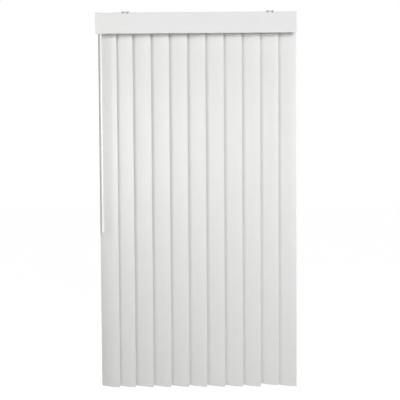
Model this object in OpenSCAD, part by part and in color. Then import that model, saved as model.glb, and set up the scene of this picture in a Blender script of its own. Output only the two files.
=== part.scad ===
// Vertical blind: a slotted headrail with sliding carriers, a fluted tilt rod, bowed hanging
// vanes, a turning wand on the lead carrier, and a clip-on valance.
// X runs along the rail, -Y faces the room, Z is up. The origin is the centre of the plane
// that the two ceiling brackets are screwed to.

/* [Vanes] */
// Number of vanes
vane_count = 11; // [3:1:11]
// Distance between vane pivots when drawn across
vane_pitch = 80; // [77:0.1:82]
// How far the lead carrier stands short of its full pitch
lead_slack = 9.5; // [0:0.5:12]
// Width of a vane across its edges
vane_w = 88.9; // [85:0.1:92]
// Thickness of the vane sheet
vane_t = 0.8; // [0.6:0.1:0.9]
// Height of the bow in the vane's section
vane_bow = 5; // [3:0.5:5.5]
// Drop from the mounting plane to the vanes' lower edge
drop = 1651; // [1000:1:2000]
// Turn of the closed vanes away from the rail's line
closed_angle = 18; // [16:1:24]
// How much higher the last vane but one hangs
odd_lift = 6; // [0:0.5:8]
// Width of the punched hole at the vane's top
slot_hole_w = 12; // [9:0.5:16]
// Height of the punched hole
slot_hole_h = 4.5; // [3.5:0.1:6]
// Material left above the punched hole
slot_hole_down = 6; // [5:0.5:9]

/* [Headrail] */
// Length of rail beyond the lead carrier when it is fully drawn
lead_margin = 25; // [22:0.5:40]
// Length of rail beyond the last carrier
end_margin = 33; // [26:0.5:40]
// Depth of the rail from front to back
rail_d = 42; // [42:0.5:46]
// Height of the rail
rail_h = 27; // [26:0.5:34]
// Wall of the rail
rail_wall = 1.2; // [0.8:0.1:1.8]
// Width of the slot along the rail's underside
slot_w = 16; // [14:0.5:18]
// Height of the lip at each side of the slot
lip_h = 2.4; // [1.6:0.1:3]
// Projection of the beads along the rail's outer walls
bead_out = 1.2; // [0.8:0.1:1.6]
// Height of a bead
bead_h = 1.6; // [1.2:0.1:2.4]
// Drop of the beads below the rail's top
bead_down = 2.4; // [2:0.1:4]
// Thickness of an end cap's plate
cap_t = 2; // [1.5:0.1:3]
// Length of the rod bearing inside an end cap
cap_boss_l = 6; // [4:0.5:7]

/* [Brackets] */
// Distance from a rail end to the middle of its bracket
bracket_in = 73; // [60:1:84]
// Width of a bracket along the rail
bracket_w = 25; // [20:1:30]
// Thickness of the bracket's spring steel
bracket_t = 1.2; // [0.8:0.1:1.6]
// Distance between a bracket's two screw holes
screw_pitch = 20; // [14:1:24]
// Diameter of a screw hole
screw_hole_d = 4.8; // [4:0.1:5.5]

/* [Carriers] */
// Length of a carrier along the rail
carrier_l = 14; // [13:0.1:14.4]
// Thickness of the runner that rides on the rail's flanges
shoe_t = 4; // [3:0.1:5]
// Number of teeth on a stem's pinion
pinion_teeth = 15; // [12:1:18]
// Outer radius of the pinion
pinion_r = 6.3; // [6:0.1:6.5]
// Height of the pinion
pinion_h = 6; // [5:0.1:7]
// Thickness of the plate over the pinion
top_plate_t = 3; // [2.4:0.1:3.4]
// Outer radius of the worm sleeve
worm_r = 5.6; // [5.4:0.1:5.8]
// Outer radius of the fluted tilt rod
rod_r = 3.2; // [3:0.1:3.4]
// Length of the neck below the rail
neck_drop = 3.5; // [3:0.1:5]
// Radius of a stem's shaft
stem_r = 2.5; // [2.2:0.1:2.8]

/* [Spacers] */
// Width of a spacer strip
spacer_w = 6; // [5:0.1:6.4]
// Thickness of a spacer strip
spacer_t = 0.25; // [0.2:0.01:0.35]
// Number of levels in which the strips pass each other
spacer_levels = 6; // [6:1:6]
// Distance between two levels
spacer_step = 0.65; // [0.6:0.01:0.7]

/* [Valance] */
// How far the valance reaches past each end of the rail
valance_over = 3; // [2.5:0.5:12]
// Height of the valance
valance_h = 89; // [80:1:100]
// Drop of the valance's top below the mounting plane
valance_down = 6; // [5.5:0.1:7]
// Distance from the rail's middle to the valance's front
valance_out = 64.5; // [64:0.5:70]
// Wall of the valance channel
channel_t = 1.2; // [0.9:0.1:1.4]
// Height of the lips that hold the insert
channel_lip_h = 7; // [5:0.5:9]
// Thickness of the insert
insert_t = 0.9; // [0.6:0.1:1]
// Distance from the rail's left end to the middle of the left valance clip
clip_in_left = 126; // [106:1:150]
// Distance from the rail's right end to the middle of the right valance clip
clip_in_right = 111; // [106:1:150]
// Distance between a clip's two fingers
finger_pitch = 21; // [19:1:26]
// Width of a finger
finger_w = 6; // [4:0.5:8]

/* [Wand] */
// Length of the wand from its pin to its lower end
wand_l = 921; // [600:1:1100]
// Diameter of the wand
wand_d = 9; // [7:0.5:9]
// Diameter of the grip's flare
grip_d = 13; // [11:0.5:13]
// Length of the grip
grip_l = 30; // [24:1:60]
// Place of the wand left of the lead vane's pivot
wand_left = 16; // [12:0.5:20]
// Place of the wand in front of the vane pivots
wand_out = 52.5; // [52:0.5:54]

/* [Hidden] */
$fn = 64;
run_gap = 0.3;
pin_gap = 0.1;
fit_gap = 0.15;
cut_over = 1;
lap = 1;
vane_half = vane_w / 2;
bow_r = (vane_half * vane_half + vane_bow * vane_bow) / (2 * vane_bow);
bow_angle = asin(vane_half / bow_r);

rail_l = (vane_count - 1) * vane_pitch + lead_margin + end_margin;
rail_half = rail_d / 2;
rail_top = -bracket_t;
rail_bottom = rail_top - rail_h;
track_z = rail_bottom + rail_wall;
bead_z = rail_top - bead_down - bead_h;
bead_y = rail_half + bead_out;
bead_edge = 0.4;

cap_corner = 2;
cap_boss_wall = 2;
plug_l = 5;
plug_t = 1.2;
plug_w = 24;
snap_out = 1.6;
snap_drop = 2.6;

shoe_gap = 0.5;
shoe_half = rail_half - rail_wall - shoe_gap;
shoe_z = track_z + run_gap;
shoe_cut = 1.5;
pinion_z = shoe_z + shoe_t + run_gap;
pinion_tooth = 1.1;
pinion_root = 0.5;
plate_z = pinion_z + pinion_h + run_gap;
plate_top = plate_z + top_plate_t;
rod_y = pinion_r + worm_r + run_gap;
rod_z = pinion_z + pinion_h / 2;
neck_z = rail_bottom - neck_drop;
neck_gap = 0.4;
neck_in = 1;
housing_wall = 1;
housing_back = min(rod_y + worm_r + housing_wall, shoe_half);
worm_in = 0.5;
worm_ribs = 5;
worm_rib_pitch = 2.3;
worm_rib_w = 0.9;
worm_rib_h = 0.8;

guide_wall = 1.2;
guide_l = 6;
strip_gap = 0.35;
guide_in = spacer_w + 2 * strip_gap;
guide_y = -15.6;
guide_sink = 0.5;
guide_h = spacer_levels * spacer_step + run_gap;
strip_y = guide_y + guide_wall + strip_gap;
strip_end = 4;
strip_ear_half = 2;
strip_ear_out = 1;

collar_t = 1.5;
collar_r = 5;
tip_step = 0.5;
tip_r = stem_r - tip_step;
head_h = 4;
head_w = 12;
head_d = 4.8;
head_corner = 3;
leg_gap = 1.5;
leg_l = 16;
leg_lead = 2;
leg_flare = 0.4;
leg_taper = 0.5;
head_z = neck_z - run_gap - collar_t - head_h;
vane_gap = 0.5;
vane_top = head_z - vane_gap;
nub_w = 5;
nub_h = 3;
nub_in = 0.2;
nub_reach = leg_gap / 2 + nub_in;

wand_x = pivot_x(1) - wand_left;
arm_w = 12;
arm_in = 1;
arm_gap = 0.5;
arm_top = rail_bottom - arm_gap;
boss_r = 6.5;
boss_drop = 8;
boss_z = neck_z - boss_drop;
fork_r = 4.8;
fork_z = boss_z - run_gap - collar_t;
fork_block = 4.5;
fork_gap = 2.5;
fork_bore_gap = 1;
fork_top = rail_bottom - fork_gap;
ear_l = 14;
ear_t = 2;
ear_half = 3.5;
ear_below = 4;
ear_round = 5;
tongue_t = 3.8;
wand_pin_r = 1.2;
pin_z = fork_z - fork_block - ear_l + ear_below;
shoulder = 6;
grip_wall = 6;
grip_skin = 0.9;
grip_edge = 1.2;
grip_band = 5;
grip_taper = 0.2;
grip_waist = grip_l * 0.6;
grip_fit = 0.05;

valance_w = rail_l + 2 * valance_over;
valance_top = -valance_down;
valance_low = valance_top - valance_h;
insert_gap = 0.1;
insert_in = 1;
channel_back = valance_out - 2 * channel_t - insert_t - 2 * insert_gap;
rib_down = 9;
rib_z = valance_top - rib_down;
rib_out = 2.4;
clip_t = 1.6;
clip_w = 34;
clip_gap = 0.4;
clip_over = 4.4;
clip_top = valance_top + clip_over;

// Place of a vane's pivot along the rail, counted from the last one, which stays near the rail's end
function pivot_x(i) =
    rail_l / 2 - end_margin - (vane_count - i) * vane_pitch + (i == 1 ? lead_slack : 0);

// Level of a spacer strip, so that bunched strips pass over each other
function strip_z(i) = plate_top + run_gap + ((i - 1) % spacer_levels) * spacer_step;

// How much higher a vane hangs: the last but one sits a little high in its clip
function vane_lift(i) = i == vane_count - 1 ? odd_lift : 0;

// Box from its lowest and highest corners
module span(low, high) {
    translate(low)
        cube(high - low);
}

// Straight wall of a section with round ends, between the middles of its two ends
module wall(from, to, thick) {
    r = thick / 2;
    upright = from.x == to.x;
    low = [min(from.x, to.x), min(from.y, to.y)];
    length = max(abs(to.x - from.x), abs(to.y - from.y));
    translate(low - (upright ? [r, 0] : [0, r]))
        square(upright ? [thick, length] : [length, thick]);
    for (end = [from, to])
        translate(end)
            circle(r = r);
}

// Turns a section drawn in Y and Z into a bar along X
module along_x(length) {
    translate([-length / 2, 0, 0])
        rotate([90, 0, 90])
            linear_extrude(length)
                children();
}

// Half of the rail's section: top, side, flange, lip beside the slot, and the outer bead
module rail_half_section() {
    mid = rail_wall / 2;
    side = rail_half - mid;
    lip = slot_w / 2 + mid;
    wall([0, rail_top - mid], [side, rail_top - mid], rail_wall);
    wall([side, rail_bottom + mid], [side, rail_top - mid], rail_wall);
    wall([lip, rail_bottom + mid], [side, rail_bottom + mid], rail_wall);
    wall([lip, rail_bottom + mid], [lip, rail_bottom + lip_h - mid], rail_wall);
    polygon([
        [side, bead_z],
        [bead_y - bead_edge, bead_z],
        [bead_y, bead_z + bead_edge],
        [bead_y, bead_z + bead_h - bead_edge],
        [bead_y - bead_edge, bead_z + bead_h],
        [side, bead_z + bead_h]
    ]);
}

module headrail() {
    color("whitesmoke")
        along_x(rail_l)
            for (flip = [0, 1])
                mirror([flip, 0])
                    rail_half_section();
}

// Outline of an end cap, with round corners
module cap_outline() {
    wide = 2 * (bead_y - cap_corner);
    low = rail_bottom + cap_corner;
    high = rail_top - cap_corner;
    translate([-wide / 2, rail_bottom])
        square([wide, rail_h]);
    translate([-bead_y, low])
        square([2 * bead_y, high - low]);
    for (y = [-wide / 2, wide / 2])
        for (z = [low, high])
            translate([y, z])
                circle(r = cap_corner);
}

// Moulded cap: plate, three tabs that plug into the rail, and a blind bearing for the tilt rod
module end_cap(side) {
    boss_outer = rod_r + cap_boss_wall;
    inner = rail_half - rail_wall - fit_gap;
    roof = rail_top - rail_wall - fit_gap;
    tab_low = rail_bottom + lip_h + fit_gap;
    color("white")
        translate([side * rail_l / 2, 0, 0])
            mirror([side < 0 ? 1 : 0, 0, 0])
                difference() {
                    union() {
                        translate([cap_t / 2, 0, 0])
                            along_x(cap_t)
                                cap_outline();
                        for (y = [-inner, inner - plug_t])
                            span([-plug_l, y, tab_low], [0, y + plug_t, roof]);
                        span([-plug_l, -plug_w / 2, roof - plug_t], [0, plug_w / 2, roof]);
                        translate([-cap_boss_l, rod_y, rod_z])
                            rotate([0, 90, 0])
                                cylinder(r = boss_outer, h = cap_boss_l);
                    }
                    translate([-cap_boss_l, rod_y, rod_z])
                        rotate([0, 90, 0])
                            cylinder(r = rod_r + pin_gap, h = cap_boss_l + cap_t / 4);
                }
}

// Half of a bracket's section: plate, leg, hook under the rail's bead, and the flared lip below it
module bracket_half_section() {
    mid = bracket_t / 2;
    leg = bead_y + run_gap + mid;
    hook = bead_z - run_gap;
    hook_in = rail_half + run_gap;
    tip = hook - bracket_t - snap_drop;
    translate([0, -bracket_t])
        square([leg, bracket_t]);
    wall([leg, hook - mid], [leg, -mid], bracket_t);
    polygon([
        [leg, hook],
        [hook_in, hook],
        [hook_in, hook - mid],
        [hook_in + snap_out, tip],
        [hook_in + snap_out + bracket_t, tip],
        [hook_in + bracket_t, hook - bracket_t],
        [leg, hook - bracket_t]
    ]);
}

// Spring steel bracket that snaps over the rail's beads and is screwed up through two holes
module bracket(side) {
    color("silver")
        translate([side * (rail_l / 2 - bracket_in), 0, 0])
            difference() {
                along_x(bracket_w)
                    for (flip = [0, 1])
                        mirror([flip, 0])
                            bracket_half_section();
                for (end = [-1, 1])
                    translate([0, end * screw_pitch / 2, -bracket_t - cut_over])
                        cylinder(d = screw_hole_d, h = bracket_t + 2 * cut_over);
            }
}

// Fluted rod that runs the whole length and turns every worm
module tilt_rod() {
    flutes = 6;
    flute_r = 0.9;
    rod_l = rail_l - 2 * run_gap;
    color("lightgray")
        translate([-rod_l / 2, rod_y, rod_z])
            rotate([0, 90, 0])
                linear_extrude(rod_l)
                    difference() {
                        circle(r = rod_r);
                        for (k = [0:flutes - 1])
                            rotate(k * 360 / flutes)
                                translate([rod_r + flute_r / 3, 0])
                                    circle(r = flute_r);
                    }
}

// Worm sleeve on the rod, with ribs that stand for its thread
module worm_sleeve() {
    rotate([0, 90, 0]) {
        cylinder(r = worm_r - worm_rib_h, h = carrier_l - 2 * worm_in, center = true);
        for (k = [0:worm_ribs - 1])
            translate([0, 0, (k - (worm_ribs - 1) / 2) * worm_rib_pitch])
                cylinder(r = worm_r, h = worm_rib_w, center = true);
    }
}

// Open guide on the carrier's top through which the spacer strips slide
module strip_guide(i) {
    half = guide_l / 2;
    high = plate_top + guide_h;
    inside = guide_y + guide_wall;
    outside = guide_y + guide_in + 2 * guide_wall;
    difference() {
        span([-half, guide_y, plate_top - guide_sink], [half, outside, high + housing_wall]);
        span([-guide_l, inside, plate_top], [guide_l, inside + guide_in, high]);
        if (i > 1)
            strip_ear(i - 1);
    }
}

// Sledge of a runner, its corners cut back so that it enters the rail and passes joints
module sledge() {
    half = carrier_l / 2;
    translate([0, 0, shoe_z])
        linear_extrude(shoe_t)
            for (flip = [0, 1])
                mirror([0, flip])
                    polygon([
                        [-half, 0],
                        [half, 0],
                        [half, shoe_half - shoe_cut],
                        [half - shoe_cut, shoe_half],
                        [-half + shoe_cut, shoe_half],
                        [-half, shoe_half - shoe_cut]
                    ]);
}

// Runner with its worm tunnel, neck and strip guide
module runner(i) {
    half = carrier_l / 2;
    neck_half = slot_w / 2 - neck_gap;
    sledge();
    span([-half, rod_y, shoe_z + lap], [half, housing_back, plate_top]);
    span([-half, guide_y, plate_z], [half, housing_back, plate_top]);
    span([-half + neck_in, -neck_half, neck_z], [half - neck_in, neck_half, shoe_z + lap]);
    translate([0, rod_y, rod_z])
        worm_sleeve();
    strip_guide(i);
}

// Arm of the lead carrier, which brings the wand out in front of the vanes
module wand_arm() {
    half = arm_w / 2;
    translate([0, 0, neck_z])
        linear_extrude(arm_top - neck_z)
            polygon([
                [-half + arm_in, 0],
                [half - arm_in, 0],
                [half - wand_left, -wand_out],
                [-half - wand_left, -wand_out]
            ]);
    translate([-wand_left, -wand_out, boss_z])
        cylinder(r = boss_r, h = arm_top - boss_z);
}

// Carrier with its bores for the rod and the stem, and grooves that run over the slot's lips
module carrier(i) {
    groove = rail_wall / 2 + run_gap;
    color("white")
        translate([pivot_x(i), 0, 0])
            difference() {
                union() {
                    runner(i);
                    if (i == 1)
                        wand_arm();
                }
                translate([-carrier_l / 2 - cut_over, rod_y, rod_z])
                    rotate([0, 90, 0])
                        cylinder(r = rod_r + pin_gap, h = carrier_l + 2 * cut_over);
                for (side = [-1, 1])
                    translate([0, side * (slot_w + rail_wall) / 2, rail_bottom])
                        span([-carrier_l, -groove, 0], [carrier_l, groove, lip_h + run_gap]);
                translate([0, 0, neck_z - cut_over])
                    cylinder(r = stem_r + pin_gap, h = plate_z - neck_z);
                translate([0, 0, plate_z - cut_over])
                    cylinder(r = tip_r + pin_gap, h = top_plate_t + 2 * cut_over);
                if (i == 1)
                    translate([-wand_left, -wand_out, boss_z - cut_over])
                        cylinder(r = stem_r + pin_gap, h = rail_bottom - fork_bore_gap - boss_z);
            }
}

// Side tab that fixes a strip to the guide of the carrier at its right
module strip_ear(i) {
    near = strip_y + spacer_w / 2;
    span([-strip_ear_half, near, strip_z(i)],
         [strip_ear_half, strip_y + spacer_w + strip_ear_out, strip_z(i) + spacer_t]);
}

// Strip that keeps two neighbouring carriers at their pitch
module spacer(i) {
    color("gainsboro")
        translate([pivot_x(i + 1), 0, 0]) {
            span([-vane_pitch - strip_end, strip_y, strip_z(i)],
                 [strip_end, strip_y + spacer_w, strip_z(i) + spacer_t]);
            strip_ear(i);
        }
}

// Toothed disc that the worm turns
module pinion() {
    root_r = pinion_r - pinion_tooth;
    root_in = root_r - pinion_root;
    linear_extrude(pinion_h) {
        circle(r = root_r);
        for (k = [0:pinion_teeth - 1])
            rotate(k * 360 / pinion_teeth)
                translate([root_in, -pinion_tooth / 2])
                    square([pinion_r - root_in, pinion_tooth]);
    }
}

// Side view of the stem's clip: a head with two tapered legs that spread at their tips
module clip_side() {
    out = head_d / 2;
    in = leg_gap / 2;
    tip = head_z - leg_l;
    for (flip = [0, 1])
        mirror([flip, 0])
            polygon([
                [0, head_z],
                [in, head_z],
                [in, tip + leg_lead],
                [in + leg_flare, tip],
                [out - leg_taper, tip],
                [out, head_z - head_h],
                [out, head_z + head_h],
                [0, head_z + head_h]
            ]);
}

// Front view of the stem's clip, with round lower corners
module clip_front() {
    half = head_w / 2;
    tip = head_z - leg_l;
    translate([-half, tip + head_corner])
        square([head_w, leg_l + head_h - head_corner]);
    translate([-half + head_corner, tip])
        square([head_w - 2 * head_corner, head_corner]);
    for (x = [-half + head_corner, half - head_corner])
        translate([x, tip + head_corner])
            circle(r = head_corner);
}

// Stem: pinion, shaft, collar and the two-legged clip whose nub carries the vane
module stem(i) {
    color("white")
        translate([pivot_x(i), 0, 0])
            rotate([0, 0, -closed_angle]) {
                translate([0, 0, pinion_z])
                    pinion();
                translate([0, 0, pinion_z])
                    cylinder(r = tip_r, h = plate_top - pinion_z - tip_step);
                translate([0, 0, head_z + head_h])
                    cylinder(r = stem_r, h = pinion_z - head_z - head_h);
                translate([0, 0, head_z + head_h])
                    cylinder(r = collar_r, h = collar_t);
                intersection() {
                    along_x(head_w)
                        clip_side();
                    translate([0, head_d / 2, 0])
                        rotate([90, 0, 0])
                            linear_extrude(head_d)
                                clip_front();
                }
                translate([0, 0, vane_top - slot_hole_down])
                    span([-nub_w / 2, -nub_reach, -nub_h], [nub_w / 2, nub_reach, 0]);
            }
}

// Bowed sheet with a punched hole near its top
module vane(i) {
    bottom = -drop + vane_lift(i);
    hole_half = slot_hole_w / 2;
    punch = vane_t + cut_over;
    color("ghostwhite")
        translate([pivot_x(i), 0, 0])
            rotate([0, 0, -closed_angle])
                difference() {
                    translate([0, bow_r, bottom])
                        rotate([0, 0, -90 - bow_angle])
                            rotate_extrude(angle = 2 * bow_angle)
                                translate([bow_r - vane_t / 2, 0])
                                    square([vane_t, vane_top - bottom]);
                    translate([0, 0, vane_top - slot_hole_down])
                        span([-hole_half, -punch, -slot_hole_h], [hole_half, punch, 0]);
                }
}

// Turning fork that the wand hangs from: shaft, collar, block, two ears and the cross pin
module wand_fork() {
    ear_in = tongue_t / 2 + run_gap;
    color("white")
        translate([wand_x, -wand_out, 0]) {
            translate([0, 0, fork_z])
                cylinder(r = stem_r, h = fork_top - fork_z);
            translate([0, 0, fork_z])
                cylinder(r = collar_r, h = collar_t);
            translate([0, 0, fork_z - fork_block])
                cylinder(r = fork_r, h = fork_block);
            for (flip = [0, 1])
                mirror([0, flip, 0])
                    intersection() {
                        span([-ear_half, ear_in, pin_z - ear_below], [ear_half, ear_in + ear_t, fork_z]);
                        translate([0, 0, pin_z - ear_below])
                            cylinder(r = ear_round, h = fork_z - pin_z + ear_below);
                    }
            translate([0, 0, pin_z])
                rotate([90, 0, 0])
                    cylinder(r = wand_pin_r, h = 2 * ear_in + ear_t, center = true);
        }
}

// Wand with a flat drilled tongue at its top
module wand() {
    tip_z = pin_z - wand_l + grip_wall;
    flat = tongue_t / 2;
    color("white")
        translate([wand_x, -wand_out, 0])
            difference() {
                union() {
                    translate([0, 0, tip_z])
                        cylinder(d = wand_d, h = pin_z - shoulder - tip_z);
                    translate([0, 0, pin_z])
                        span([-ear_half, -flat, -shoulder - lap], [ear_half, flat, 0]);
                    translate([0, 0, pin_z])
                        rotate([90, 0, 0])
                            cylinder(r = ear_half, h = tongue_t, center = true);
                }
                translate([0, 0, pin_z])
                    rotate([90, 0, 0])
                        cylinder(r = wand_pin_r + pin_gap, h = tongue_t + 2 * cut_over, center = true);
            }
}

// Flared grip pushed onto the wand's lower end
module wand_grip() {
    sleeve_r = wand_d / 2 + grip_skin;
    flare_r = grip_d / 2;
    color("white")
        translate([wand_x, -wand_out, pin_z - wand_l])
            difference() {
                rotate_extrude()
                    polygon([
                        [0, 0],
                        [flare_r - grip_edge, 0],
                        [flare_r, grip_edge],
                        [flare_r, grip_band],
                        [sleeve_r + grip_taper, grip_waist],
                        [sleeve_r, grip_l],
                        [0, grip_l]
                    ]);
                translate([0, 0, grip_wall])
                    cylinder(r = wand_d / 2 + grip_fit, h = grip_l);
            }
}

// Section of the valance channel: back wall, two front lips and a hanging rib, with round edges
module channel_section() {
    mid = channel_t / 2;
    front = -valance_out + mid;
    back = -channel_back - mid;
    low = valance_low + mid;
    high = valance_top - mid;
    wall([back, low], [back, high], channel_t);
    wall([front, low], [back, low], channel_t);
    wall([front, high], [back, high], channel_t);
    wall([front, low], [front, valance_low + channel_lip_h - mid], channel_t);
    wall([front, valance_top - channel_lip_h + mid], [front, high], channel_t);
    wall([back, rib_z + mid], [-channel_back + rib_out - mid, rib_z + mid], channel_t);
}

module valance_channel() {
    color("white")
        along_x(valance_w)
            channel_section();
}

// Flat strip held by the channel's lips
module valance_insert() {
    y0 = -valance_out + channel_t + insert_gap;
    margin = channel_t + run_gap;
    color("ghostwhite")
        span([-valance_w / 2 + insert_in, y0, valance_low + margin],
             [valance_w / 2 - insert_in, y0 + insert_t, valance_top - margin]);
}

// Section of a valance clip: roof, hook on the rail's front bead, and leg under the channel's rib
module clip_section() {
    mid = clip_t / 2;
    roof = clip_top - mid;
    front = -channel_back + clip_gap + mid;
    hook = -bead_y - run_gap - mid;
    hook_z = bead_z - run_gap;
    leg = front + rib_out;
    toe = -channel_back + run_gap;
    wall([front, roof], [hook, roof], clip_t);
    wall([hook, hook_z - mid], [hook, roof], clip_t);
    translate([hook, hook_z - clip_t])
        square([-rail_half - run_gap - hook, clip_t]);
    wall([leg, rib_z - mid], [leg, roof], clip_t);
    translate([toe, rib_z - clip_t])
        square([leg - toe, clip_t]);
}

// Finger of a valance clip, which reaches over the channel and down its front lip
module clip_finger() {
    mid = clip_t / 2;
    front = -valance_out - run_gap - mid;
    roof = clip_top - mid;
    wall([front, roof], [-channel_back + lap, roof], clip_t);
    wall([front, valance_top - channel_lip_h + mid], [front, roof], clip_t);
    translate([-valance_out, valance_top])
        square([valance_out - channel_back, roof - valance_top]);
}

module valance_clip(side) {
    inset = side < 0 ? clip_in_left : clip_in_right;
    color("gainsboro")
        translate([side * (rail_l / 2 - inset), 0, 0]) {
            along_x(clip_w)
                clip_section();
            for (end = [-1, 1])
                translate([end * finger_pitch / 2, 0, 0])
                    along_x(finger_w)
                        clip_finger();
        }
}

headrail();
end_cap(-1);  // end_cap_left
end_cap(1);  // end_cap_right
bracket(-1);  // bracket_left
bracket(1);  // bracket_right
valance_channel();
valance_insert();
valance_clip(-1);  // valance_clip_left
valance_clip(1);  // valance_clip_right
tilt_rod();
wand_fork();
wand();
wand_grip();
for (i = [1:vane_count]) carrier(i);
for (i = [1:vane_count - 1]) spacer(i);
for (i = [1:vane_count]) stem(i);
for (i = [1:vane_count]) vane(i);
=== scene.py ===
import math

import bmesh
import bpy
from mathutils import Matrix, Vector


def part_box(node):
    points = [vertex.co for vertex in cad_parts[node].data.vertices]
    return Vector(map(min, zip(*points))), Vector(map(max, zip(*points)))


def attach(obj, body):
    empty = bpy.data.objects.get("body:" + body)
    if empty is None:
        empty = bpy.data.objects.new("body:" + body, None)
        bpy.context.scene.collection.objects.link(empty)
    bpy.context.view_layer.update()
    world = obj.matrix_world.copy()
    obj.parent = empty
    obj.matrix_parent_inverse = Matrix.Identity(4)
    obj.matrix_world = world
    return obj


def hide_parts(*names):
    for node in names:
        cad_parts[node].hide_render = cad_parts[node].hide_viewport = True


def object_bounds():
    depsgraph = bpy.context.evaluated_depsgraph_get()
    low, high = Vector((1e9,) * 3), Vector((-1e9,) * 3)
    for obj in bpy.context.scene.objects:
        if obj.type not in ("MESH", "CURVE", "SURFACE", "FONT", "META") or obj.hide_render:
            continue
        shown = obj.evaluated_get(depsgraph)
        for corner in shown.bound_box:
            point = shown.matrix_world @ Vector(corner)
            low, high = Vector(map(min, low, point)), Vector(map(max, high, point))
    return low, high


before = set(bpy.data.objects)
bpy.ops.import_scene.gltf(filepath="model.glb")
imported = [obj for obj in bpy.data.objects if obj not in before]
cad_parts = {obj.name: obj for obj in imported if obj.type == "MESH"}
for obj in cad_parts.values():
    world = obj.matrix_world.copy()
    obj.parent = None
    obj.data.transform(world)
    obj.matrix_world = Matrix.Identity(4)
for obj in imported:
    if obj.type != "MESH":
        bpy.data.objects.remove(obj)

cad_low, cad_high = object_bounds()


# The view: the blind is seen from in front, from about half its height and a little to the right
# of its middle, with the rail's line falling very slightly to the left.
view_from = Vector((0.0208, -2.4, -0.7389))
view_turn = math.radians(-0.193)
view_dip = math.radians(1.785)
view_roll = math.radians(-0.382)
view_lens = 48.59
view_sensor = 36

ahead = Vector((
    math.sin(view_turn) * math.cos(view_dip),
    math.cos(view_turn) * math.cos(view_dip),
    -math.sin(view_dip),
))
level = Vector((math.cos(view_turn), -math.sin(view_turn), 0))
upright = level.cross(ahead)
across = level * math.cos(view_roll) + upright * math.sin(view_roll)
camera_data = bpy.data.cameras.new("view")
camera_data.lens = view_lens
camera_data.sensor_width = view_sensor
camera = bpy.data.objects.new("view", camera_data)
camera.matrix_world = Matrix.Translation(view_from) @ Matrix(
    (across, across.cross(ahead), -ahead)
).transposed().to_4x4()
bpy.context.scene.collection.objects.link(camera)
bpy.context.scene.camera = camera
bpy.context.scene.view_settings.view_transform = "Standard"


# The light: a tall narrow lamp right of the view draws the wand's shadow, a wide near one at the
# left darkens the vanes' laps and feet, a weak one at the far right brightens their right edges,
# one behind the blind shows its back, and a faint glow comes from all round.
lamp_aim = Vector((0, 0, -0.5))


def lamp(name, place, wide, high, power):
    """An upright lamp at a place, which faces the blind."""
    data = bpy.data.lights.new(name, "AREA")
    data.shape = "RECTANGLE"
    data.size = wide
    data.size_y = high
    data.energy = power
    light = bpy.data.objects.new(name, data)
    light.location = Vector(place)
    light.rotation_mode = "QUATERNION"
    light.rotation_quaternion = (light.location - lamp_aim).to_track_quat("Z", "Y")
    bpy.context.scene.collection.objects.link(light)


lamp("key_lamp", place=(0.92, -3.9, -0.2), wide=0.13, high=1.3, power=84)
lamp("soft_lamp", place=(-0.9, -1.4, -0.42), wide=1.0, high=0.7, power=7.6)
lamp("side_lamp", place=(1.6, -1.0, 0.2), wide=0.4, high=0.4, power=2.8)
lamp("rear_lamp", place=(1.2, 2.4, 0.1), wide=1.2, high=1.2, power=18)

world = bpy.data.worlds.new("studio")
bpy.context.scene.world = world
world.use_nodes = True
glow_strength = 0.06
backdrop_strength = 1
white = (1, 1, 1, 1)


class Signal:
    """A node's output, on which Python's own operators work."""

    def __init__(self, nodes, socket):
        self.nodes = nodes
        self.socket = socket

    def maths(self, operation, first, second=0.0):
        return self.nodes.node("ShaderNodeMath", {"operation": operation}, {0: first, 1: second})

    def __add__(self, other):
        return self.maths("ADD", self, other)

    def __sub__(self, other):
        return self.maths("SUBTRACT", self, other)

    def __rsub__(self, other):
        return self.maths("SUBTRACT", other, self)

    def __mul__(self, other):
        return self.maths("MULTIPLY", self, other)

    def __truediv__(self, other):
        return self.maths("DIVIDE", self, other)

    __radd__ = __add__
    __rmul__ = __mul__


class Nodes:
    """A node tree, and the one method that adds a node to it."""

    def __init__(self, tree):
        self.tree = tree
        self.tree.nodes.clear()

    def node(self, kind, settings=None, sockets=None, output=0):
        """Adds a node, sets its settings first and then its sockets, and gives one output."""
        added = self.tree.nodes.new(kind)
        for name, value in (settings or {}).items():
            setattr(added, name, value)
        for key, value in (sockets or {}).items():
            for item in value if isinstance(value, list) else [value]:
                if isinstance(item, Signal):
                    self.tree.links.new(item.socket, added.inputs[key])
                else:
                    added.inputs[key].default_value = item
        return Signal(self, added.outputs[output] if len(added.outputs) else None)


def looked_at(nodes):
    """1 where the eye looks, also in a reflection or through a clear piece, and otherwise 0."""
    seen = nodes.node("ShaderNodeLightPath", output="Is Camera Ray")
    mirrored = nodes.node("ShaderNodeLightPath", output="Is Glossy Ray")
    passed = nodes.node("ShaderNodeLightPath", output="Is Transmission Ray")
    return seen + mirrored + passed


sky = Nodes(world.node_tree)
glow = sky.node("ShaderNodeBackground", {}, {"Color": white, "Strength": glow_strength})
backdrop = sky.node("ShaderNodeBackground", {}, {"Color": white, "Strength": backdrop_strength})
shown = sky.node("ShaderNodeMixShader", {}, {0: looked_at(sky), 1: glow, 2: backdrop})
sky.node("ShaderNodeOutputWorld", {}, {"Surface": shown})


# Floor: plain and pale, a little below the vanes. It is nearly white to the eye and keeps a trace
# of the blind's shadow.
floor_drop = 0.3
floor_half = 30
floor_show = 0.85
floor_glow = 1.16
floor_colour = (0.8, 0.8, 0.8, 1)

floor_paint = bpy.data.materials.new("pale_floor")
floor_paint.use_nodes = True
ground = Nodes(floor_paint.node_tree)
matt = ground.node("ShaderNodeBsdfDiffuse", {}, {"Color": floor_colour})
bright = ground.node("ShaderNodeEmission", {}, {"Color": white, "Strength": floor_glow})
mixed = ground.node("ShaderNodeMixShader", {}, {0: looked_at(ground) * floor_show, 1: matt, 2: bright})
ground.node("ShaderNodeOutputMaterial", {}, {"Surface": mixed})

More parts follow.
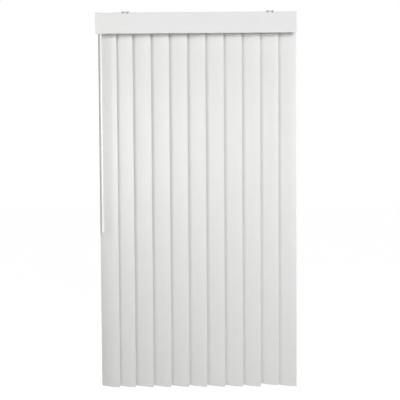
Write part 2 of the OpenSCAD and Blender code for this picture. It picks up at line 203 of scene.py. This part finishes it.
floor_mesh = bpy.data.meshes.new("floor")
floor_z = cad_low.z - floor_drop
floor_mesh.from_pydata(
    [(x * floor_half, y * floor_half, floor_z) for x, y in ((-1, -1), (1, -1), (1, 1), (-1, 1))],
    [],
    [(0, 1, 2, 3)],
)
floor_mesh.materials.append(floor_paint)
floor = bpy.data.objects.new("floor", floor_mesh)
bpy.context.scene.collection.objects.link(floor)


# Headrail: an aluminium channel, drawn through a die and coated with white enamel, with a slot
# along its underside for the carriers. Two brackets carry it.
rail_colour = (0.80, 0.80, 0.785, 1)
rail_easing = 0.0003
along_rail = (0.02, 1, 1)
skin_depth = 0.0002
grain_detail = 3.0
cloud_grains = 14
cloud_dark, cloud_light = 0.985, 1.012
gloss_grains = 60
gloss_play = 0.1
same_point = 1e-6
flat_angle = math.radians(1)
by_area_alone = 100


def surface(name, colouring, gloss, skin, relief, metallic=0.0, coat=0.0):
    """A material from three functions that give its colour, roughness and height at a place."""
    material = bpy.data.materials.new(name)
    material.use_nodes = True
    nodes = Nodes(material.node_tree)
    place = nodes.node("ShaderNodeTexCoord", output="Object")
    colour = colouring(nodes, place)
    raised = nodes.node("ShaderNodeBump", {}, {
        "Strength": relief,
        "Distance": skin_depth,
        "Height": skin(nodes, place),
    })
    body = nodes.node("ShaderNodeBsdfPrincipled", {}, {
        "Base Color": colour,
        "Roughness": gloss(nodes, place),
        "Metallic": metallic,
        "Coat Weight": coat,
        "Normal": raised,
    })
    nodes.node("ShaderNodeOutputMaterial", {}, {"Surface": body})
    return material


def grain(nodes, place, scale, stretch=(1, 1, 1)):
    """Noise from 0 to 1 at so many grains a metre, drawn out where stretch is small."""
    laid = nodes.node("ShaderNodeMapping", {}, {"Vector": place, "Scale": stretch})
    return nodes.node("ShaderNodeTexNoise", {}, {"Vector": laid, "Scale": scale, "Detail": grain_detail})


def tint(nodes, amount, low, high):
    """Colour between low and high by an amount from 0 to 1."""
    return nodes.node("ShaderNodeMix", {"data_type": "RGBA"}, {0: amount, 6: low, 7: high}, output=2)


def shade(colour, share):
    """The same colour, lighter or darker."""
    return tuple(min(1, channel * share) for channel in colour[:3]) + (1,)


def plastic(name, colour, gloss, grains=900, stretch=(1, 1, 1), relief=0.05, coat=0.0):
    """Plastic with a fine skin, a little unevenness of gloss and a trace of clouding."""
    return surface(
        name,
        lambda nodes, place: tint(
            nodes, grain(nodes, place, cloud_grains), shade(colour, cloud_dark), shade(colour, cloud_light)
        ),
        lambda nodes, place: grain(nodes, place, gloss_grains) * gloss_play + (gloss - gloss_play / 2),
        lambda nodes, place: grain(nodes, place, grains, stretch),
        relief,
        coat=coat,
    )


def rounded(piece, width, sections=2, sharper_than=40):
    """Rounds a piece's sharp edges and keeps its flat faces flat to the light."""
    rounding = piece.modifiers.new("rounding", "BEVEL")
    rounding.width = width
    rounding.segments = sections
    rounding.limit_method = "ANGLE"
    rounding.angle_limit = math.radians(sharper_than)
    evened = piece.modifiers.new("even_normals", "WEIGHTED_NORMAL")
    evened.weight = by_area_alone
    evened.keep_sharp = True


def eased(node, body, material, width, sections=2):
    """The same piece with its sharp edges rounded as a die or a mould leaves them."""
    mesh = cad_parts[node].data.copy()
    mesh.name = "eased_" + node
    shape = bmesh.new()
    shape.from_mesh(mesh)
    bmesh.ops.remove_doubles(shape, verts=shape.verts, dist=same_point)
    bmesh.ops.dissolve_limit(shape, angle_limit=flat_angle, verts=shape.verts, edges=shape.edges)
    shape.to_mesh(mesh)
    shape.free()
    mesh.materials.clear()
    mesh.materials.append(material)
    for face in mesh.polygons:
        face.material_index = 0
        face.use_smooth = True
    piece = bpy.data.objects.new("eased_" + node, mesh)
    bpy.context.scene.collection.objects.link(piece)
    rounded(piece, width, sections)
    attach(piece, body)
    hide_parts(node)
    return piece


rail_enamel = plastic("rail_enamel", rail_colour, gloss=0.34, grains=1500, stretch=along_rail, relief=0.06)
eased("headrail", "rail", rail_enamel, rail_easing)


# End caps: plates moulded from white plastic, which are pushed onto the rail's ends. Each holds
# one end of the rod in a bearing that is closed to the outside.
cap_colour = (0.82, 0.82, 0.81, 1)
cap_easing = 0.0005
cap_plastic = plastic("cap_plastic", cap_colour, gloss=0.42)
for side in ("left", "right"):
    eased("end_cap_" + side, "rail", cap_plastic, cap_easing)


# Brackets: zinc plated spring steel, folded so that two hooks snap over the rail's beads, each
# screwed up through two holes.
bracket_colour = (0.62, 0.62, 0.61, 1)
bracket_easing = 0.00025
along_strip = (0.03, 1, 1)
roll_grains = 40
roll_dark, roll_light = 0.94, 1.04
line_grains = 2400
line_play = 0.14
ridge_grains = 2600


def metal(name, colour, gloss, stretch, relief=0.12):
    """Bare metal with the fine lines of its rolling or drawing."""
    return surface(
        name,
        lambda nodes, place: tint(
            nodes, grain(nodes, place, roll_grains), shade(colour, roll_dark), shade(colour, roll_light)
        ),
        lambda nodes, place: (
            grain(nodes, place, line_grains, stretch) * line_play + (gloss - line_play / 2)
        ),
        lambda nodes, place: grain(nodes, place, ridge_grains, stretch),
        relief,
        metallic=1.0,
    )


bracket_steel = metal("bracket_steel", bracket_colour, gloss=0.33, stretch=along_strip)
for side in ("left", "right"):
    eased("bracket_" + side, "rail", bracket_steel, bracket_easing)


# Tilt rod: drawn from aluminium with six flutes, it runs through all the carriers. Its ends turn in
# the end caps, and it turns the worm in every carrier.
rod_colour = (0.78, 0.78, 0.79, 1)


def dress(node, material):
    """Gives a piece that stays as it was built its finish."""
    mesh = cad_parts[node].data
    mesh.materials.clear()
    mesh.materials.append(material)


dress("tilt_rod", metal("rod_metal", rod_colour, gloss=0.3, stretch=along_rail))


# Carriers: moulded runners with a neck through the slot and the wand's arm on the first, and
# the thin steel strips between them that keep them at their pitch.
carrier_colour = (0.84, 0.84, 0.83, 1)
strip_colour = (0.6, 0.6, 0.6, 1)
vane_count = 11
carrier_easing = 0.0002
carrier_plastic = plastic("carrier_plastic", carrier_colour, gloss=0.4)
spacer_steel = metal("spacer_steel", strip_colour, gloss=0.26, stretch=along_rail)
for number in range(1, vane_count + 1):
    body = f"carrier_{number}" if number < vane_count else "rail"
    eased(f"carrier_{number}", body, carrier_plastic, carrier_easing)
for number in range(1, vane_count):
    dress(f"spacer_{number}", spacer_steel)


# Stems: each is one plastic moulding of pinion, shaft and two-legged clip. It hangs in its carrier
# and is turned by the worm there.
stem_colour = (0.86, 0.86, 0.85, 1)
stem_easing = 0.0002
stem_plastic = plastic("stem_plastic", stem_colour, gloss=0.36)
for number in range(1, vane_count + 1):
    eased(f"stem_{number}", f"vane_{number}", stem_plastic, stem_easing)


# Vanes: strips of white plastic sheet, bowed by the die they are drawn through, cut to length and
# punched near the top. Each hangs on the nub of its stem, its right edge before its neighbour.
vane_width = 0.0889
vane_bow = 0.005
vane_sheet = 0.0008
vane_top = -0.038
vane_foot = -1.651
vane_turn = math.radians(-18)
short_vane = 10
short_lift = 0.006
hole_width = 0.012
hole_height = 0.0045
hole_drop = 0.006
hole_sides = 24
punch_depth = 0.02
vane_columns = 41
vane_faces = 2
vane_rows = 25
vane_crease = math.radians(35)
vane_easing = 0.00018
along_drop = (1, 1, 0.02)
vane_colour = (0.885, 0.882, 0.872, 1)


def recipe(name, inputs):
    """A Geometry Nodes tree with named inputs, as a node builder and its inputs by name."""
    tree = bpy.data.node_groups.new(name, "GeometryNodeTree")
    for label, kind in inputs.items():
        tree.interface.new_socket(label, in_out="INPUT", socket_type=kind)
    tree.interface.new_socket("Shape", in_out="OUTPUT", socket_type="NodeSocketGeometry")
    nodes = Nodes(tree)
    given = tree.nodes.new("NodeGroupInput")
    return nodes, {label: Signal(nodes, given.outputs[label]) for label in inputs}


def vane_tree():
    """A flat sheet bent to the bow, punched with a round-ended hole, turned and hung in place.

    Its rows lie closer near the top, which keeps the faces round the hole small."""
    nodes, given = recipe("bowed_vane", {
        "Width": "NodeSocketFloat",
        "Bow": "NodeSocketFloat",
        "Sheet": "NodeSocketFloat",
        "Top": "NodeSocketFloat",
        "Foot": "NodeSocketFloat",
        "Hole Width": "NodeSocketFloat",
        "Hole Height": "NodeSocketFloat",
        "Hole Drop": "NodeSocketFloat",
        "Turn": "NodeSocketFloat",
        "Pivot": "NodeSocketFloat",
        "Material": "NodeSocketMaterial",
    })
    half = given["Width"] * 0.5
    radius = (half * half + given["Bow"] * given["Bow"]) / (given["Bow"] * 2)
    bend = half.maths("ARCSINE", half / radius)
    drop = given["Top"] - given["Foot"]
    flat_size = nodes.node("ShaderNodeCombineXYZ", {}, {0: bend * radius * 2, 1: given["Sheet"], 2: drop})
    flat = nodes.node("GeometryNodeMeshCube", {}, {
        "Size": flat_size, "Vertices X": vane_columns, "Vertices Y": vane_faces, "Vertices Z": vane_rows,
    })
    place = nodes.node("GeometryNodeInputPosition")
    split = [nodes.node("ShaderNodeSeparateXYZ", {}, {0: place}, output=axis) for axis in range(3)]
    swing = split[0] / radius
    reach = radius - split[1]
    below = 0.5 - split[2] / drop
    bent = nodes.node("ShaderNodeCombineXYZ", {}, {
        0: reach * swing.maths("SINE", swing),
        1: radius - reach * swing.maths("COSINE", swing),
        2: given["Top"] - drop * below * below,
    })
    sheet = nodes.node("GeometryNodeSetPosition", {}, {"Geometry": flat, "Position": bent})

    hole_z = given["Top"] - given["Hole Drop"] - given["Hole Height"] * 0.5
    hole_box = nodes.node("ShaderNodeCombineXYZ", {}, {
        0: given["Hole Width"] - given["Hole Height"], 1: punch_depth, 2: given["Hole Height"],
    })
    middle = nodes.node("GeometryNodeMeshCube", {}, {"Size": hole_box})
    round_end = nodes.node("GeometryNodeMeshCylinder", {}, {
        "Vertices": hole_sides, "Radius": given["Hole Height"] * 0.5, "Depth": punch_depth,
    })
    cutters = [nodes.node("GeometryNodeTransform", {}, {
        "Geometry": middle,
        "Translation": nodes.node("ShaderNodeCombineXYZ", {}, {2: hole_z}),
    })]
    for side in (-0.5, 0.5):
        end_place = nodes.node("ShaderNodeCombineXYZ", {}, {
            0: (given["Hole Width"] - given["Hole Height"]) * side, 2: hole_z,
        })
        cutters.append(nodes.node("GeometryNodeTransform", {}, {
            "Geometry": round_end, "Translation": end_place, "Rotation": (math.pi / 2, 0, 0),
        }))
    punched = nodes.node("GeometryNodeMeshBoolean", {"operation": "DIFFERENCE"}, {0: sheet, 1: cutters})

    turned = nodes.node("GeometryNodeTransform", {}, {
        "Geometry": punched,
        "Translation": nodes.node("ShaderNodeCombineXYZ", {}, {0: given["Pivot"]}),
        "Rotation": nodes.node("ShaderNodeCombineXYZ", {}, {2: given["Turn"]}),
    })
    smooth = nodes.node("GeometryNodeSetShadeSmooth", {}, {"Geometry": turned, "Shade Smooth": True})
    corner = nodes.node("GeometryNodeInputMeshEdgeAngle")
    sharp = nodes.node("FunctionNodeCompare", {"operation": "GREATER_THAN"}, {0: corner, 1: vane_crease})
    shaded = nodes.node("GeometryNodeSetShadeSmooth", {"domain": "EDGE"}, {
        "Geometry": smooth, "Selection": sharp, "Shade Smooth": False,
    })
    whole = nodes.node("GeometryNodeRealizeInstances", {}, {"Geometry": shaded})
    finished = nodes.node("GeometryNodeSetMaterial", {}, {"Geometry": whole, "Material": given["Material"]})
    nodes.node("NodeGroupOutput", {}, {0: finished})
    return nodes.tree


def grown(name, tree, values):
    """A plain mesh piece that the tree makes with these values for its named inputs."""
    holder = bpy.data.objects.new(name + "_tree", bpy.data.meshes.new(name + "_tree"))
    bpy.context.scene.collection.objects.link(holder)
    modifier = holder.modifiers.new("grow", "NODES")
    modifier.node_group = tree
    for item in tree.interface.items_tree:
        if item.item_type == "SOCKET" and item.in_out == "INPUT":
            modifier[item.identifier] = values[item.name]
    graph = bpy.context.evaluated_depsgraph_get()
    mesh = bpy.data.meshes.new_from_object(holder.evaluated_get(graph), depsgraph=graph)
    mesh.name = name
    bpy.data.objects.remove(holder)
    piece = bpy.data.objects.new(name, mesh)
    bpy.context.scene.collection.objects.link(piece)
    return piece


vane_plastic = plastic("vane_plastic", vane_colour, gloss=0.42, grains=700, stretch=along_drop, relief=0.04)
hanging_vane = vane_tree()
for number in range(1, vane_count + 1):
    stem_low, stem_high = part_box(f"stem_{number}")
    vane = grown(f"vane_sheet_{number}", hanging_vane, {
        "Width": vane_width,
        "Bow": vane_bow,
        "Sheet": vane_sheet,
        "Top": vane_top,
        "Foot": vane_foot + (short_lift if number == short_vane else 0),
        "Hole Width": hole_width,
        "Hole Height": hole_height,
        "Hole Drop": hole_drop,
        "Turn": vane_turn,
        "Pivot": (stem_low[0] + stem_high[0]) / 2,
        "Material": vane_plastic,
    })
    rounded(vane, vane_easing)
    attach(vane, f"vane_{number}")
    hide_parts(f"vane_{number}")


# Valance: a channel of drawn white plastic whose lips hold a flat strip of the vane sheet, carried
# by two moulded clips that hook onto the rail's front bead.
channel_colour = (0.84, 0.84, 0.835, 1)
insert_colour = (0.86, 0.86, 0.855, 1)
# The clips are painted mid grey. This is painted shade: it stands in for the shadows and dark edges at
# their fingers above the valance, not for the clips' own colour.
clip_painted_shade_colour = (0.5, 0.5, 0.5, 1)
channel_easing = 0.0005
insert_easing = 0.0002
clip_easing = 0.0004
valance_plastic = plastic("valance_plastic", channel_colour, gloss=0.36, stretch=along_rail)
insert_plastic = plastic(
    "insert_plastic", insert_colour, gloss=0.62, grains=700, stretch=along_rail, relief=0.04
)
clip_plastic = plastic("clip_plastic", clip_painted_shade_colour, gloss=0.22, coat=0.4)
eased("valance_channel", "rail", valance_plastic, channel_easing, sections=3)
eased("valance_insert", "rail", insert_plastic, insert_easing)
for side in ("left", "right"):
    eased("valance_clip_" + side, "rail", clip_plastic, clip_easing)


# Wand: a white plastic rod that hangs on a cross pin in the turning fork of the first carrier,
# with a long flared grip pushed onto its lower end. The rod is a little shorter than the solid one
# and the grip longer, as they are on the real blind.
wand_colour = (0.97, 0.97, 0.965, 1)
wand_easing = 0.0004
wand_saved = 0.026
grip_length = 0.062
grip_band = 0.012
grip_floor = 0.006
grip_edge = 0.0012
grip_skin = 0.0009
grip_sides = 64
grip_crease = 25
fork_plastic = plastic("fork_plastic", wand_colour, gloss=0.38)
wand_plastic = plastic(
    "wand_plastic", wand_colour, gloss=0.28, grains=700, stretch=along_drop, relief=0.015, coat=1.0
)
grip_plastic = plastic("grip_plastic", wand_colour, gloss=0.3, relief=0.015, coat=1.0)
eased("wand_fork", "wand_fork", fork_plastic, wand_easing)
rod = eased("wand", "wand", wand_plastic, wand_easing)
rod_low, rod_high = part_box("wand")
for point in rod.data.vertices:
    if point.co.z < (rod_low[2] + rod_high[2]) / 2:
        point.co.z += wand_saved

grip_low, grip_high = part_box("wand_grip")
grip_foot = grip_low[2] + wand_saved
grip_middle = Vector(((grip_low[0] + grip_high[0]) / 2, (grip_low[1] + grip_high[1]) / 2, grip_foot))
flare_radius = (grip_high[0] - grip_low[0]) / 2
bore_radius = (rod_high[0] - rod_low[0]) / 2
grip_outline = (
    (0, 0),
    (flare_radius - grip_edge, 0),
    (flare_radius, grip_edge),
    (flare_radius, grip_band),
    (bore_radius + grip_skin, grip_length),
    (bore_radius, grip_length),
    (bore_radius, grip_floor),
    (0, grip_floor),
)
grip_shape = bmesh.new()
corners = [grip_shape.verts.new(grip_middle + Vector((reach, 0, height))) for reach, height in grip_outline]
edges = [grip_shape.edges.new(pair) for pair in zip(corners, corners[1:])]
bmesh.ops.spin(
    grip_shape,
    geom=corners + edges,
    cent=grip_middle,
    axis=(0, 0, 1),
    angle=math.tau,
    steps=grip_sides,
    use_merge=True,
)
bmesh.ops.remove_doubles(grip_shape, verts=grip_shape.verts, dist=same_point)
bmesh.ops.recalc_face_normals(grip_shape, faces=grip_shape.faces)
grip_mesh = bpy.data.meshes.new("flared_grip")
grip_shape.to_mesh(grip_mesh)
grip_shape.free()
grip_mesh.materials.append(grip_plastic)
for face in grip_mesh.polygons:
    face.use_smooth = True
grip = bpy.data.objects.new("flared_grip", grip_mesh)
bpy.context.scene.collection.objects.link(grip)
rounded(grip, wand_easing, sharper_than=grip_crease)
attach(grip, "wand")
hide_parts("wand_grip")
